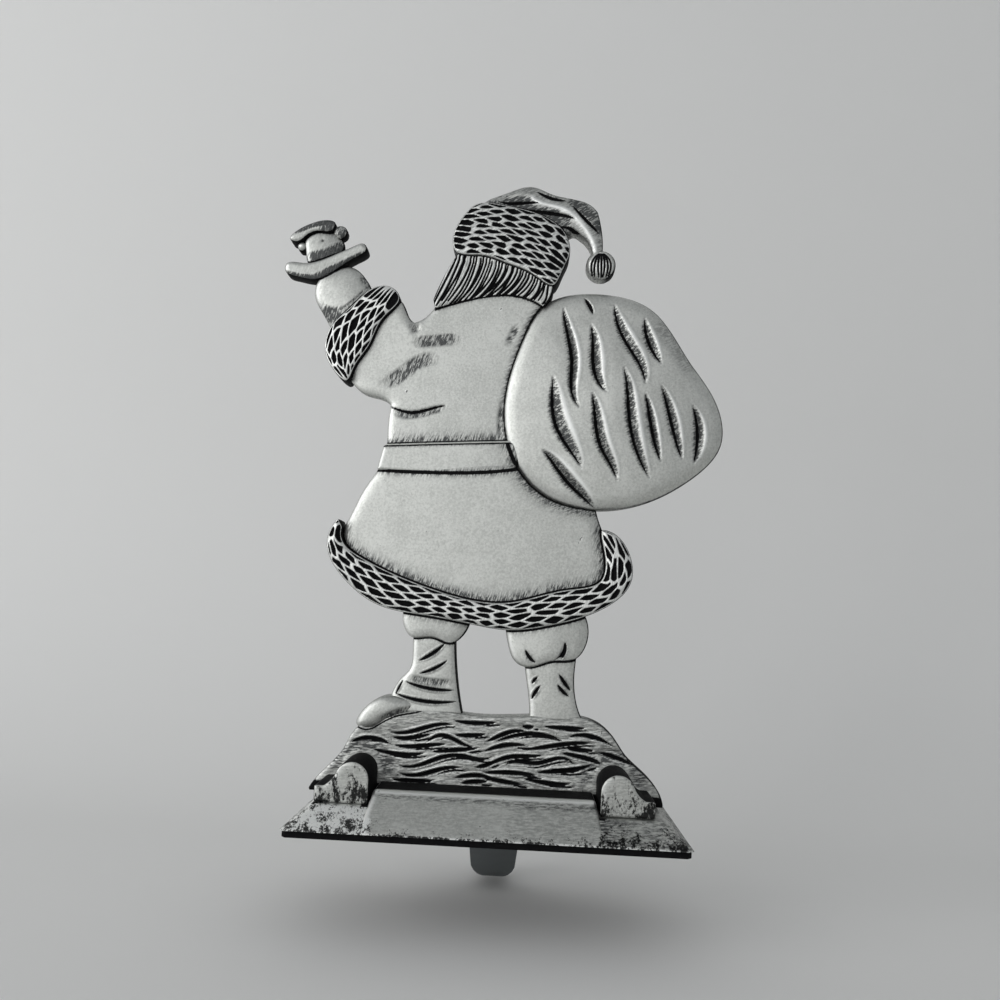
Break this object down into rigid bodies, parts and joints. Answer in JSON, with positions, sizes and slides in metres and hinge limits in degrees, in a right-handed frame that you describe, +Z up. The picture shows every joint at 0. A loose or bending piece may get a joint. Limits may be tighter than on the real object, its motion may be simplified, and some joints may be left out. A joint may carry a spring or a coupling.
{
  "type": "mantel stocking holder",
  "caption": "Weighted stocking holder for a mantel shelf: a cast relief figure carrying a sack stands on a chamfered plinth, with a padded underside and a steel hook at the front edge.",
  "frame": {"origin": "middle of the pad's underside, which rests on the mantel shelf", "axes": "+Z up; +Y towards the room, where the hook hangs; the side with the sack faces -Y"},
  "size_m": [0.134, 0.0728, 0.2144],
  "materials": {
    "pewter": "antiqued pewter, satin, dark in the recesses",
    "hook_steel": "matt slate-grey coating",
    "pad": "matt black",
    "screw_steel": "zinc plated"
  },
  "bodies": {
    "root": {"figure_casting": "pewter", "base_casting": "pewter", "hook": "hook_steel", "base_pad": "pad", "figure_screws": "screw_steel", "hook_screws": "screw_steel"}
  },
  "joints": []
}
